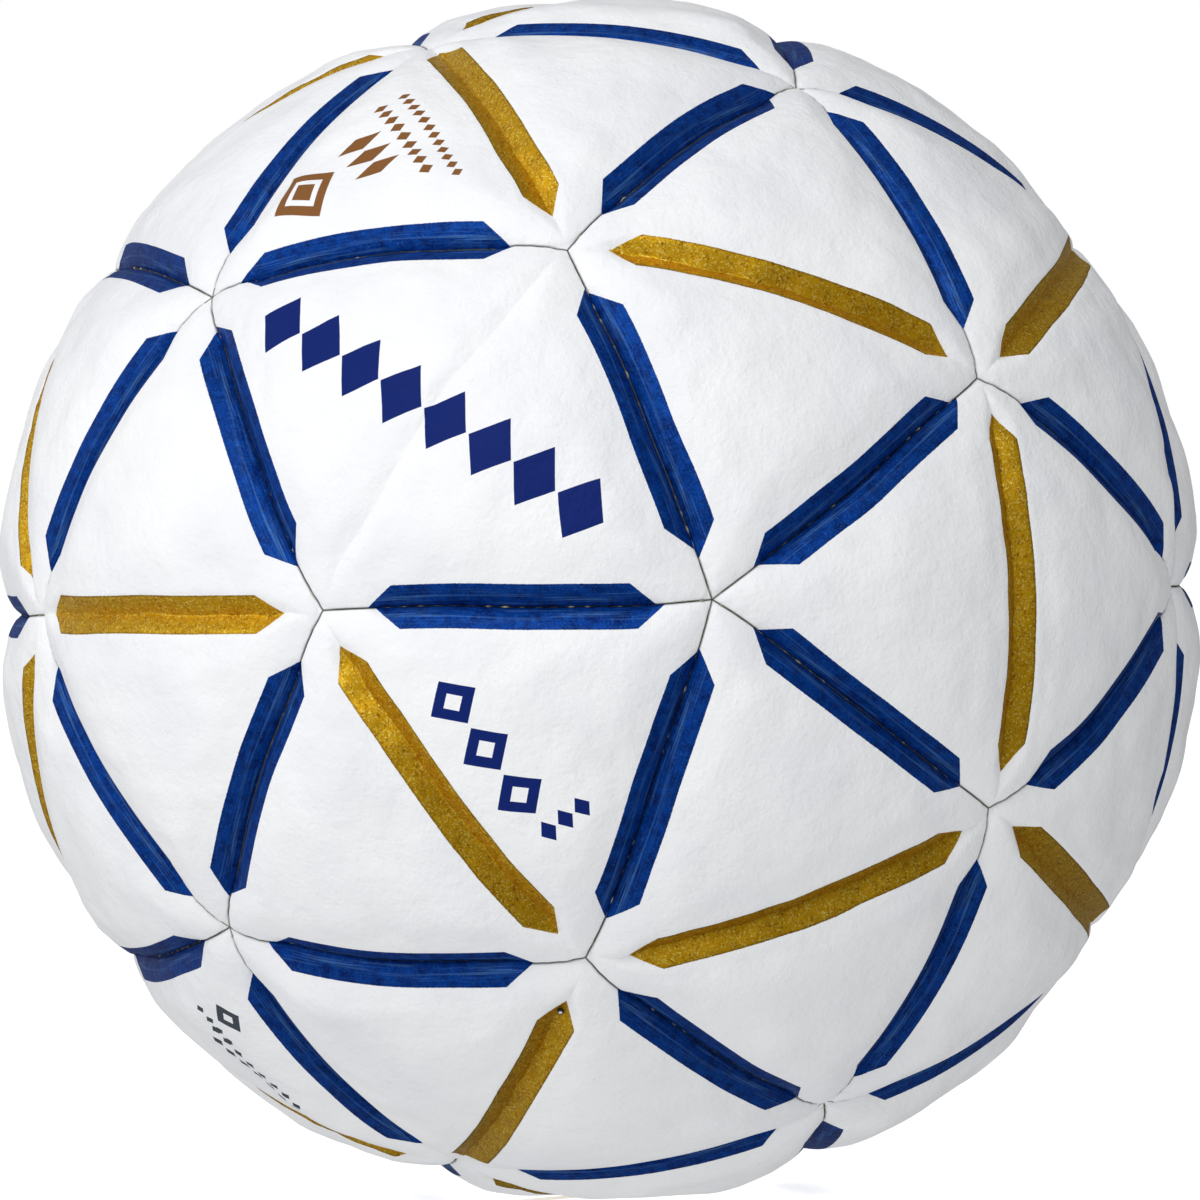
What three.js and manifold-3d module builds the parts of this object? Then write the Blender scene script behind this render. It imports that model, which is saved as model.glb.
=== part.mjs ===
// A size 2 handball: thirty rhombic cover panels sewn together over an air bladder.
// Millimetres, +Z up, origin at the ball's centre. X, Y and Z each pass through the middle
// of a panel, and the panel at the bottom, base_panel, is pressed flat where the ball stands.
//
// The seams follow the edges of a rhombic triacontahedron. Five panels meet at each of its
// 12 sharp corners ("fives") and three at each of its 20 blunt corners. A groove is pressed
// into each panel along its short diagonal, so that six lines leave each blunt corner ("sixes").

import * as THREE from "three";
import { mergeVertices } from "three/addons/utils/BufferGeometryUtils.js";
import Module from "manifold-3d";

const wasm = await Module();
wasm.setup();

// Driving dimensions
const CROWN_RADIUS = 83.5; // centre to the top of a panel's pillow: a girth of about 525
const COVER_THICKNESS = 5; // PU skin, foam and backing cloth together
const STRIPE_HALF_WIDTH = 3; // a seam's printed stripe, from the seam line to its edge
const CLEARANCE = 0.3; // between neighbouring pieces

// Cover panels
const SHOULDER_DROP = 0.9; // the stripe's outer edge, below the crown
const SEAM_PRESS = 1.8; // the seam line, below the stripe's outer edge
const PILLOW_REACH = 13; // from a stripe's edge to where the pillow reaches full height
const GROOVE_SHOULDER = 0.2; // the groove's edges, below the crown
const GROOVE_DEPTH = 1.6; // the pressed V groove along the short diagonal
const GROOVE_HALF_WIDTH = 2.7;
const GROOVE_FADE = 5.5; // the groove runs out over this length before each blunt corner
const CREASE_SHARE = 0.3; // the plain panels' shallow crease, as a share of a groove
const LINING_RADIUS = CROWN_RADIUS - COVER_THICKNESS; // the back of the panels
const THREAD_BEVEL = 1.6; // the back edges are cut away here, to make room for the thread
const WALL_INSET = CLEARANCE / 2;
const STANDING_DROP = 0.8; // how far the ball's own weight presses the base panel in

// Rows of vertices from a panel's edge to the opposite corner, as shares of a half panel's
// height. The first row lies on the stripe's outer edge.
const HALF_PANEL_HEIGHT = CROWN_RADIUS * Math.atan(2 / (1 + Math.sqrt(5)));
const STRIPE_SHARE = STRIPE_HALF_WIDTH / HALF_PANEL_HEIGHT;
const ROW_WEIGHTS = [0, STRIPE_SHARE, 1 / 3, 1 / 2, 2 / 3, 1 - STRIPE_SHARE, 1];
const ROWS = ROW_WEIGHTS.length - 1;

// Thread
const THREAD_RADIUS = 0.4;
const THREAD_HEIGHT = LINING_RADIUS + 0.7; // the thread's centre line, from the ball's centre
const THREAD_SIDES = 4;
const THREAD_STEPS = 4;
const THREAD_OVERRUN = 0.3; // how far the five arms of a star run past its middle
const THREAD_STOP = 1.5; // how far an arm stops short of the blunt corner

// Bladder, valve and balance patch, each turned about the valve's axis
const BLADDER_GAP = 0.9; // from the panels' lining to the bladder, and from its wall to what it holds
const BLADDER_RADIUS = LINING_RADIUS - BLADDER_GAP;
const BLADDER_WALL = 1;
const BLADDER_INNER = BLADDER_RADIUS - BLADDER_WALL;
const BLADDER_RINGS = 11;
const VALVE_FROM_CORNER = 10; // the needle hole, along the groove from a blunt corner
const NEEDLE_HOLE_RADIUS = 0.6;
const DRILL_SIDES = 8;
const NECK_RADIUS = 3;
const FLANGE_RADIUS = 11;
const FLANGE_THICKNESS = 1;
const FLANGE_SLANT = 0.8; // the flange's edge, below its root, to follow the bladder's curve
const STEM_RADIUS = 4.5;
const STEM_LENGTH = 15;
const CORE_RADIUS = 2;
const CORE_SEAT = 1.5; // solid rubber under the core
const AIR_WAY_RADIUS = 0.8;
const NEEDLE_DEPTH = 8; // how far the needle's channel goes into the core
const PATCH_RADIUS = 14.5;
const PATCH_THICKNESS = 1.75;
const PATCH_RINGS = 3;
const ROUND_SEGMENTS = 20;

const MATERIALS = {
  cover: { color: 0xf1f2f3, roughness: 0.5, metalness: 0 },
  thread: { color: 0xd9d0ac, roughness: 0.8, metalness: 0 },
  bladder: { color: 0x1d1d1f, roughness: 0.7, metalness: 0 },
  valve: { color: 0x2b2b2e, roughness: 0.6, metalness: 0 },
  core: { color: 0x8a8577, roughness: 0.6, metalness: 0 },
  patch: { color: 0x2f3134, roughness: 0.8, metalness: 0 },
};

// ---- The layout of the seams ----

const GOLDEN = (1 + Math.sqrt(5)) / 2;

// Every sign choice and cyclic order of (x, y, z), as unit vectors with no two alike.
function cyclicPoints(x, y, z) {
  const found = new Map();
  for (const signs of [0, 1, 2, 3, 4, 5, 6, 7]) {
    const p = [x, y, z].map((v, axis) => (signs & (1 << axis) ? -v : v) + 0);
    for (const turn of [0, 1, 2]) {
      const point = new THREE.Vector3(p[turn], p[(turn + 1) % 3], p[(turn + 2) % 3]);
      found.set(point.toArray().map((v) => v.toFixed(3) * 1).join(), point.normalize());
    }
  }
  return [...found.values()];
}

const fives = cyclicPoints(0, 1, GOLDEN);
const sixes = [...cyclicPoints(1, 1, 1), ...cyclicPoints(0, GOLDEN, 1 / GOLDEN)];
const SEAM_ANGLE = Math.acos(new THREE.Vector3(0, 1, GOLDEN).normalize().dot(sixes[0]));

const nearest = (points, to) =>
  [...points].sort((a, b) => a.angleTo(to) - b.angleTo(to));

// Each panel: its blunt corners a and b, its sharp corners c and d, and its middle.
function findPanels() {
  const panels = [];
  sixes.forEach((a, index) => {
    const neighbours = nearest(sixes, a).slice(1, 4);
    for (const b of neighbours.filter((other) => sixes.indexOf(other) > index)) {
      const middle = a.clone().add(b).normalize();
      const [near, far] = nearest(fives, middle);
      const groove = a.clone().cross(b).normalize();
      const [c, d] = groove.dot(near) > 0 ? [near, far] : [far, near];
      panels.push({ a, b, c, d, middle, groove });
    }
  });
  const around = (panel) => Math.atan2(panel.middle.y, panel.middle.x);
  const height = (panel) => Math.round(panel.middle.z * 100);
  return panels.sort((p, q) => height(q) - height(p) || around(p) - around(q));
}

// ---- Meshes and solids ----

function geometryOf(vertices, faces) {
  const geometry = new THREE.BufferGeometry();
  const flat = vertices.flatMap((v) => v.toArray());
  geometry.setAttribute("position", new THREE.Float32BufferAttribute(flat, 3));
  geometry.setIndex(faces.flat());
  return geometry;
}

function solidOf(geometry) {
  const bare = geometry.clone();
  bare.deleteAttribute("normal");
  bare.deleteAttribute("uv");
  const merged = mergeVertices(bare);
  return new wasm.Manifold(
    new wasm.Mesh({
      numProp: 3,
      vertProperties: merged.attributes.position.array,
      triVerts: new Uint32Array(merged.index.array),
    }),
  );
}

function geometryFrom(solid) {
  const mesh = solid.getMesh();
  const geometry = new THREE.BufferGeometry();
  geometry.setAttribute("position", new THREE.Float32BufferAttribute(mesh.vertProperties, 3));
  geometry.setIndex([...mesh.triVerts]);
  return geometry;
}

function addNode(group, name, geometry, look) {
  const flatShaded = geometry.index ? geometry.toNonIndexed() : geometry;
  flatShaded.computeVertexNormals();
  const mesh = new THREE.Mesh(flatShaded, new THREE.MeshStandardMaterial(MATERIALS[look]));
  mesh.name = name;
  group.add(mesh);
  return mesh;
}

const twoDigits = (number) => String(number).padStart(2, "0");

// Turns the +Y axis, about which lathe geometry is made, to a direction.
const turnedTo = (direction) =>
  new THREE.Quaternion().setFromUnitVectors(new THREE.Vector3(0, 1, 0), direction);

// ---- Cover panels ----

// The inward normals of a panel's four seams, each with the grid points that lie on it.
// A grid point is (i, j, k): its weights towards a and b, and towards c (k > 0) or d (k < 0).
function seamsOf({ a, b, c, d }) {
  const inward = (from, to) => from.clone().cross(to).normalize();
  return [
    { normal: inward(c, a), holds: (i, j, k) => j === 0 && k >= 0 },
    { normal: inward(a, d), holds: (i, j, k) => j === 0 && k <= 0 },
    { normal: inward(b, c), holds: (i, j, k) => i === 0 && k >= 0 },
    { normal: inward(d, b), holds: (i, j, k) => i === 0 && k <= 0 },
  ];
}

// The share of its fall that a pillow has made at a distance from the shoulder that holds it down.
const pillowFall = (distance) => Math.max(0, 1 - Math.max(0, distance) / PILLOW_REACH) ** 2;

// How far the outer skin lies below the crown at a direction from the ball's centre.
function skinDrop(panel, seams, direction) {
  const mmFrom = (normal) => CROWN_RADIUS * Math.abs(Math.asin(direction.dot(normal)));
  const fromSeam = Math.min(...seams.map((seam) => mmFrom(seam.normal)));
  const fromGroove = mmFrom(panel.groove);
  const fromCorner = CROWN_RADIUS * Math.min(direction.angleTo(panel.a), direction.angleTo(panel.b));
  const pillow = Math.max(
    SHOULDER_DROP * pillowFall(fromSeam - STRIPE_HALF_WIDTH),
    GROOVE_SHOULDER * panel.grooveShare * pillowFall(fromGroove - GROOVE_HALF_WIDTH),
  );
  const stripe = SEAM_PRESS * Math.max(0, 1 - fromSeam / STRIPE_HALF_WIDTH);
  const groove = GROOVE_DEPTH * Math.max(0, 1 - fromGroove / GROOVE_HALF_WIDTH);
  const fade = Math.min(1, fromCorner / GROOVE_FADE);
  return pillow + stripe + panel.grooveShare * groove * fade;
}

// The grid over a panel: rows from d's corner (k = -ROWS) through the groove to c's corner.
function panelGrid(panel, seams) {
  const points = [];
  const index = new Map();
  for (let k = -ROWS; k <= ROWS; k++) {
    for (let i = 0; i <= ROWS - Math.abs(k); i++) {
      const j = ROWS - Math.abs(k) - i;
      const direction = panel.a.clone().multiplyScalar(ROW_WEIGHTS[i]);
      direction.addScaledVector(panel.b, ROW_WEIGHTS[j]);
      direction.addScaledVector(k > 0 ? panel.c : panel.d, ROW_WEIGHTS[Math.abs(k)]);
      direction.normalize();
      index.set(`${k},${i}`, points.length);
      points.push({ direction, inset: insetAt(seams, i, j, k) });
    }
  }
  return { points, at: (k, i) => index.get(`${k},${i}`) };
}

// The step that moves an edge point 1 mm in from each seam that it lies on, or null inside.
function insetAt(seams, i, j, k) {
  const normals = seams.filter((seam) => seam.holds(i, j, k)).map((seam) => seam.normal);
  if (!normals.length) return null;
  if (normals.length === 1) return normals[0].clone();
  const [first, second] = normals;
  return first.clone().add(second).divideScalar(1 + first.dot(second));
}

// The grid's triangles, facing out, and its edge as one loop of grid indices.
function gridFaces(at) {
  const faces = [];
  for (let side = -1; side <= 1; side += 2) {
    const turn = (p, q, r) => (side > 0 ? [p, q, r] : [q, p, r]);
    for (let row = 0; row < ROWS; row++) {
      const [k, next] = [side * row, side * (row + 1)];
      for (let i = 0; i < ROWS - row; i++) {
        faces.push(turn(at(k, i + 1), at(k, i), at(next, i)));
        if (i < ROWS - row - 1) faces.push(turn(at(k, i + 1), at(next, i), at(next, i + 1)));
      }
    }
  }
  const loop = [];
  for (let k = -ROWS; k < ROWS; k++) loop.push(at(k, ROWS - Math.abs(k)));
  for (let k = ROWS; k > -ROWS; k--) loop.push(at(k, 0));
  return { faces, loop };
}

function panelGeometry(panel) {
  const seams = seamsOf(panel);
  const { points, at } = panelGrid(panel, seams);
  const { faces: skin, loop } = gridFaces(at);
  const place = ({ direction, inset }, radius, depthIn) => {
    const p = direction.clone().multiplyScalar(radius);
    return inset ? p.addScaledVector(inset, depthIn) : p;
  };
  const outer = points.map((point) =>
    place(point, CROWN_RADIUS - skinDrop(panel, seams, point.direction), WALL_INSET),
  );
  const bevelTop = loop.map((p) => place(points[p], LINING_RADIUS + THREAD_BEVEL, WALL_INSET));
  const inner = points.map((point) => place(point, LINING_RADIUS, WALL_INSET + THREAD_BEVEL));

  const bevelStart = outer.length;
  const innerStart = bevelStart + bevelTop.length;
  const faces = [...skin, ...skin.map(([p, q, r]) => [p + innerStart, r + innerStart, q + innerStart])];
  loop.forEach((outerIndex, n) => {
    const next = (n + 1) % loop.length;
    const bands = [
      [outerIndex, loop[next]],
      [bevelStart + n, bevelStart + next],
      [innerStart + outerIndex, innerStart + loop[next]],
    ];
    for (let band = 0; band < bands.length - 1; band++) {
      const [[p, q], [r, s]] = [bands[band], bands[band + 1]];
      faces.push([p, q, r], [q, s, r]);
    }
  });
  return geometryOf([...outer, ...bevelTop, ...inner], faces);
}

// The base panel, cut level where the ball's weight presses it against what it stands on.
function pressedFlat(geometry) {
  const depth = CROWN_RADIUS;
  const floor = new THREE.BoxGeometry(CROWN_RADIUS, CROWN_RADIUS, depth);
  floor.translate(0, 0, STANDING_DROP - CROWN_RADIUS - depth / 2);
  return geometryFrom(solidOf(geometry).subtract(solidOf(floor)));
}

// The valve panel, with the hole that the pump's needle goes in through.
function pierced(geometry, axis) {
  const length = 4 * COVER_THICKNESS;
  const drill = new THREE.CylinderGeometry(NEEDLE_HOLE_RADIUS, NEEDLE_HOLE_RADIUS, length, DRILL_SIDES);
  drill.translate(0, CROWN_RADIUS, 0);
  drill.applyQuaternion(turnedTo(axis));
  return geometryFrom(solidOf(geometry).subtract(solidOf(drill)));
}

// Panels with a name of their own, and what is done to them. The others are numbered.
function addCover(group, panels, special, valveAxis) {
  let number = 0;
  for (const panel of panels) {
    const isPlain = panel === special.plain_panel_1 || panel === special.plain_panel_2;
    panel.grooveShare = isPlain ? CREASE_SHARE : 1;
    let geometry = panelGeometry(panel);
    if (panel === special.base_panel) geometry = pressedFlat(geometry);
    if (panel === special.valve_panel) geometry = pierced(geometry, valveAxis);
    const ownName = Object.keys(special).find((name) => special[name] === panel);
    addNode(group, ownName ?? `cover_panel_${twoDigits(++number)}`, geometry, "cover");
  }
}

// ---- Thread ----

// One star of thread: an arm in the channel behind each of the five seams at a sharp corner.
function threadStar(five) {
  const section = new THREE.Shape(
    Array.from({ length: THREAD_SIDES }, (_, side) => {
      const angle = (2 * Math.PI * side) / THREAD_SIDES;
      return new THREE.Vector2(THREAD_RADIUS * Math.cos(angle), THREAD_RADIUS * Math.sin(angle));
    }),
  );
  const start = -THREAD_OVERRUN / THREAD_HEIGHT;
  const end = SEAM_ANGLE - THREAD_STOP / THREAD_HEIGHT;
  let star = null;
  for (const six of nearest(sixes, five).slice(0, 5)) {
    const swing = five.clone().cross(six).normalize();
    const route = Array.from({ length: THREAD_STEPS + 1 }, (_, step) => {
      const angle = start + ((end - start) * step) / THREAD_STEPS;
      return five.clone().applyAxisAngle(swing, angle).multiplyScalar(THREAD_HEIGHT);
    });
    const arm = solidOf(
      new THREE.ExtrudeGeometry(section, {
        steps: THREAD_STEPS,
        bevelEnabled: false,
        extrudePath: new THREE.CatmullRomCurve3(route),
      }),
    );
    star = star ? star.add(arm) : arm;
  }
  return geometryFrom(star);
}

// ---- Bladder, valve and balance patch ----

// A closed profile of [distance from the axis, height] pairs, turned about +Y.
function turned(profile) {
  const closed = [...profile, profile[0]].map(([x, y]) => new THREE.Vector2(x, y));
  return new THREE.LatheGeometry(closed, ROUND_SEGMENTS);
}

// An arc of a sphere about the centre, from one angle off the axis to another.
function arc(radius, from, to, steps) {
  return Array.from({ length: steps + 1 }, (_, step) => {
    const angle = from + ((to - from) * step) / steps;
    return [Math.max(0, radius * Math.sin(angle)), radius * Math.cos(angle)];
  });
}

function bladderProfile() {
  const mouth = (NECK_RADIUS + CLEARANCE) / BLADDER_INNER;
  return [
    ...arc(BLADDER_RADIUS, Math.PI, mouth, BLADDER_RINGS),
    ...arc(BLADDER_INNER, mouth, Math.PI, BLADDER_RINGS),
  ];
}

const NECK_TOP = BLADDER_RADIUS;
const FLANGE_TOP = BLADDER_INNER - BLADDER_GAP;
const STEM_BOTTOM = NECK_TOP - STEM_LENGTH;
const BORE_RADIUS = CORE_RADIUS + CLEARANCE;

const valveBodyProfile = () => [
  [BORE_RADIUS, NECK_TOP],
  [BORE_RADIUS, STEM_BOTTOM + CORE_SEAT],
  [AIR_WAY_RADIUS, STEM_BOTTOM + CORE_SEAT],
  [AIR_WAY_RADIUS, STEM_BOTTOM],
  [STEM_RADIUS, STEM_BOTTOM],
  [STEM_RADIUS, FLANGE_TOP - FLANGE_THICKNESS],
  [FLANGE_RADIUS, FLANGE_TOP - FLANGE_THICKNESS - FLANGE_SLANT],
  [FLANGE_RADIUS, FLANGE_TOP - FLANGE_SLANT],
  [NECK_RADIUS, FLANGE_TOP],
  [NECK_RADIUS, NECK_TOP],
];

const valveCoreProfile = () => [
  [0, STEM_BOTTOM + CORE_SEAT + CLEARANCE],
  [CORE_RADIUS, STEM_BOTTOM + CORE_SEAT + CLEARANCE],
  [CORE_RADIUS, NECK_TOP - CLEARANCE],
  [NEEDLE_HOLE_RADIUS, NECK_TOP - CLEARANCE],
  [NEEDLE_HOLE_RADIUS, NECK_TOP - NEEDLE_DEPTH],
  [0, NECK_TOP - NEEDLE_DEPTH],
];

function patchProfile() {
  const top = BLADDER_INNER - BLADDER_GAP;
  const spread = PATCH_RADIUS / top;
  return [
    ...arc(top, spread, 0, PATCH_RINGS),
    ...arc(top - PATCH_THICKNESS, 0, spread, PATCH_RINGS),
  ];
}

function addTurned(group, name, profile, axis, look) {
  addNode(group, name, turned(profile), look).quaternion.copy(turnedTo(axis));
}

// ---- The ball ----

const panels = findPanels();
const closestTo = (x, y, z) => {
  const wanted = new THREE.Vector3(x, y, z).normalize();
  return [...panels].sort((p, q) => p.middle.angleTo(wanted) - q.middle.angleTo(wanted))[0];
};

const special = {
  base_panel: closestTo(0, 0, -1),
  valve_panel: closestTo(-GOLDEN, -1, -1 - GOLDEN),
  plain_panel_1: closestTo(-1 - GOLDEN, -GOLDEN, 1),
  plain_panel_2: closestTo(1 + GOLDEN, GOLDEN, -1),
};

// The valve panel's groove runs from the corner (-1, -1, -1), and the needle hole is on it.
const valveCorner = new THREE.Vector3(-1, -1, -1).normalize();
const alongGroove = valveCorner.clone().cross(special.valve_panel.middle).normalize();
const valveAxis = valveCorner.clone().applyAxisAngle(alongGroove, VALVE_FROM_CORNER / CROWN_RADIUS);

const ball = new THREE.Group();
addCover(ball, panels, special, valveAxis);
fives.forEach((five, index) => {
  addNode(ball, `seam_thread_${twoDigits(index + 1)}`, threadStar(five), "thread");
});
addTurned(ball, "bladder", bladderProfile(), valveAxis, "bladder");
addTurned(ball, "valve_body", valveBodyProfile(), valveAxis, "valve");
addTurned(ball, "valve_core", valveCoreProfile(), valveAxis, "core");
addTurned(ball, "balance_patch", patchProfile(), valveAxis.clone().negate(), "patch");

export default ball;
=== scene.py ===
"""A size 2 handball: thirty foam-backed white panels, stitched, with blue and gold printed stripes.

Each panel is built as a closed skin over the CAD panel that it replaces. Its surface is worked out
from distances to the seams and to the pressed groove, in millimetres at the crown of the ball.
"""

import math

import bpy
import numpy as np
from mathutils import Matrix, Vector


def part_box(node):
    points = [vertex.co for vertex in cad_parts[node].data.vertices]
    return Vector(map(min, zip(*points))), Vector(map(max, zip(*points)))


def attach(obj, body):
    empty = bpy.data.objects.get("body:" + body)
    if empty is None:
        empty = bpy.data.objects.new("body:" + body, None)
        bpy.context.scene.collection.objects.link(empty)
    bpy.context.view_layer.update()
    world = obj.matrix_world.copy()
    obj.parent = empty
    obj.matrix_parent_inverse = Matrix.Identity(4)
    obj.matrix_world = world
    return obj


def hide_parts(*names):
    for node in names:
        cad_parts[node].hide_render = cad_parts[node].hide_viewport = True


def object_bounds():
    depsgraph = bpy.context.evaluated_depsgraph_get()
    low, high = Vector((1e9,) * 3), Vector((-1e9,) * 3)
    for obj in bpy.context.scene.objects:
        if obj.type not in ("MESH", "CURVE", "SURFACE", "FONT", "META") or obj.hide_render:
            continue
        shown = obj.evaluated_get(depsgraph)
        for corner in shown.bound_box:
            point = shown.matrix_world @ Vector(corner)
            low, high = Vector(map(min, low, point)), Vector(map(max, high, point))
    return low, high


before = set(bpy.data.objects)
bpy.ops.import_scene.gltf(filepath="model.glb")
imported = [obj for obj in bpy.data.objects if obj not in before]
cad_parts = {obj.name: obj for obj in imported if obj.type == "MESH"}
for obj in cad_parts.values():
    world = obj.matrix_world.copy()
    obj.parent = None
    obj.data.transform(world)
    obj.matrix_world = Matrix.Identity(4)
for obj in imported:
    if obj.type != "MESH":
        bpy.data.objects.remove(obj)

cad_low, cad_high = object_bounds()

# ---- Driving dimensions, millimetres ----

MM = 0.001
CROWN = 83.5  # centre of the ball to the top of a pillow
LINING = 78.5  # the back of the panels
GOLDEN = (1 + math.sqrt(5)) / 2
FLOOR_Z = cad_low.z  # metres

# Section across a seam
EDGE_GAP = 0.04  # half the gap between two sewn edges
FOLD_RADIUS = 0.3  # the turned-in edge at the seam
FOLD_REACH = 0.9  # where the steep face by the fold meets the stripe's face
FOLD_SLOPE = 0.5
FOLD_ROUNDING = 0.15
STRIPE_REACH = 2.8  # where the stripe's face meets the pillow
STRIPE_SLOPE = 0.5
STRIPE_ROUNDING = 1.3  # the roundings are the widths over which two slopes blend
PUCKER = 0.04  # height of the small puckers, one for each stitch
PUCKER_REACH = 1.9
PILLOW_DROP = 1.15  # how far each half panel falls from its crown to its seams
PILLOW_REACH = 16.0
PILLOW_POWER = 2.3
CORNER_BLEND = 0.9  # rounds a panel's corners, where two seams are near
CORNER_SHARE = 0.42  # share of the pressed depth that is left in the seam past its stripe
PRESS_FADE = 4.0  # the depth changes over about this length at each end of the stripe

# The pressed groove
GROOVE_HALF_WIDTH = 2.7
GROOVE_SLOPE = 0.66
GROOVE_SHARE = 0.35  # the pillow's fall to the groove, as a share of its fall to the seams
GROOVE_TIP = 24.8  # half the length of the gold stripe
GROOVE_END = 4.2  # length of the stripe's angled end
GROOVE_RUNOUT = 5.2  # the crease fades out over this length past the tip
GROOVE_ROUNDING = 0.35
VALLEY_WANDER = 0.13  # how far the groove's bottom strays from the panel's mid line
VALLEY_WAVE = 6.0  # and over what length
CREASE_HALF_WIDTH = 2.2  # the plain panels' crease
CREASE_SLOPE = 0.26
CREASE_SHARE = 0.35  # as GROOVE_SHARE

# The blue stripe, along a seam from its sharp corner
STRIPE_HALF_WIDTH = 3.0
STRIPE_START = 6.9
STRIPE_STOP = 47.0
STRIPE_END = 3.9  # length of the angled end
MISPRINT = 0.55  # how far each stripe's print slips along its seam
WIDTH_ERROR = 0.15  # and how far its width is off

# The foam under the skin
PRESSED_LOOSE = 0.12  # share of the foam's unevenness that is left where the skin is pressed
PRESSED_ZONE = (3, 11)  # that share grows to 1 over these distances from a seam or a groove
# Each layer of dents: size, wavelength and seed
DENTS = ((0.2, 30, 21), (0.15, 15, 22), (0.06, 7, 23), (0.018, 3.2, 24))
# How the seams stray along the ball: wavelength, size, and a seed for each axis
WANDERS = ((34, 0.17, (11, 12, 13)), (13, 0.05, (14, 15, 16)))
PULL_SIZE = 0.24  # the folds that run out from the corners
PULL_START = (3, 9)  # they rise over these distances from the corner
PULL_END = (11, 26)  # and fade over these
PULL_WAVE = 5.2
PULL_SEED = 700
FLOOR_ROUNDING = 0.12  # how softly the skin meets the floor

# The skin's simulation
CLOTH_ROWS = 26
CLOTH_SCALE = 10  # the simulation runs on a ball ten times real size, where Cloth is steadier
CLOTH_FRAMES = 20
CLOTH_SLACK = 0.02  # share by which the skin is larger than the foam under it
CLOTH_PRESSURE = 1.0
CLOTH_CAP = 0.5  # the most that the skin may move, mm
CLOTH_SMOOTH = 1.35  # reach of each simulated point over the fine skin, mm
CLOTH_STIFFNESS = 15
CLOTH_SHEAR = 5
CLOTH_BENDING = 0.6
HELD_LEVELS = 10
HELD_BY_SEAM = (2.8, 7)  # the hold falls from all to nothing over these distances, mm
HELD_BY_GROOVE = (2.6, 7)

# The sewn edges and the back
WALL_LEVELS = (80.6, 79.6)  # radii of the loops down the sewn edge, mm
BACK_SHARES = (0.97, 0.66, 0.33)  # loops over the back, from the edge to the middle

# Thread
STITCH_PITCH = 2.3
THREAD_RADIUS = 0.13
THREAD_SINK = 0.52  # mean depth of the thread below the seam's bottom
THREAD_SWING = 0.32  # how far it rises and sinks from that in each stitch
THREAD_HIDE = 0.35  # the thread lies deeper where the seam has no stripe
THREAD_UNEVEN = 0.12  # how much the depth differs from stitch to stitch
THREAD_STEP = 0.23
THREAD_END = 1.2  # it stops this far short of a corner

# The valve
VALVE_FROM_CORNER = 10.0
GROOVE_SLIP = 1.9  # the valve panel's groove is moved this far from the needle hole's corner
# Rings of the valve's opening, from its middle out: radius, and height over the groove's bottom
NEEDLE_PROFILE = (
    (0.1, 0.48),
    (0.27, 0.52),
    (0.3, 0.4),
    (0.33, 0.5),
    (0.4, 0.52),
    (0.44, -0.6),
)

ROWS = 62  # grid rows over half a panel
ROW_CLUSTER = 1.6  # how strongly rows crowd towards the seams

# Camera, in degrees; its distance is in metres
CAMERA_TURN = -42.36
CAMERA_LIFT = 0.31
CAMERA_ROLL = -1.5
CAMERA_DISTANCE = 16 * CROWN * MM

# Light
DIM_SIDE = 0.45  # the surroundings' strength as light, from the camera's right
BRIGHT_SIDE = 0.64
BOUNCE = 0.44  # what a pale floor adds from below
DIM_REFLECTION = 0.16  # the surroundings as a shiny surface shows them: a dark room, one pale side
BRIGHT_REFLECTION = 0.52
KEY_LIGHT = (CAMERA_TURN - 18, 38, 1.5, 1.2, 10.2)  # azimuth, elevation, distance, size, watts
SIDE_LIGHT = (CAMERA_TURN - 75, 20, 1.5, 0.9, 2.6)


# ---- The layout of the seams ----

def unit(v):
    v = np.asarray(v, float)
    return v / np.linalg.norm(v, axis=-1, keepdims=True)


def cyclic_points(x, y, z):
    """Every sign choice and cyclic order of (x, y, z), as unit vectors with no two alike."""
    found = {}
    for signs in range(8):
        p = [v * (-1 if signs & (1 << axis) else 1) for axis, v in enumerate((x, y, z))]
        for turn in range(3):
            q = [p[(turn + n) % 3] for n in range(3)]
            found[tuple(round(v, 3) + 0.0 for v in q)] = unit(q)
    return list(found.values())


FIVES = cyclic_points(0, 1, GOLDEN)  # sharp corners, where five panels meet
SIXES = cyclic_points(1, 1, 1) + cyclic_points(0, GOLDEN, 1 / GOLDEN)  # blunt corners
SEAM_ANGLE = math.acos(unit((0, 1, GOLDEN)) @ unit((1, 1, 1)))


def nearest(points, to):
    return sorted(points, key=lambda p: -(p @ to))


def find_panels():
    """Each panel's blunt corners a and b, sharp corners c and d, and middle."""
    panels = []
    for index, a in enumerate(SIXES):
        for b in nearest(SIXES, a)[1:4]:
            if any(b is earlier for earlier in SIXES[:index]):
                continue
            middle = unit(a + b)
            groove = unit(np.cross(a, b))
            near, far = nearest(FIVES, middle)[:2]
            c, d = (near, far) if groove @ near > 0 else (far, near)
            panels.append({"a": a, "b": b, "c": c, "d": d, "middle": middle, "groove": groove})
    return panels


PANELS = find_panels()


def panel_at(direction):
    return max(PANELS, key=lambda panel: panel["middle"] @ unit(direction))


def node_box_middle(name):
    low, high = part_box(name)
    return np.array((low + high) / 2)


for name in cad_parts:
    if "panel" in name:
        panel_at(node_box_middle(name))["node"] = name

PLAIN_MIDDLE = unit((-1 - GOLDEN, -GOLDEN, 1))
for panel in PANELS:
    panel["plain"] = abs(panel["middle"] @ PLAIN_MIDDLE) > 0.99

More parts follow.
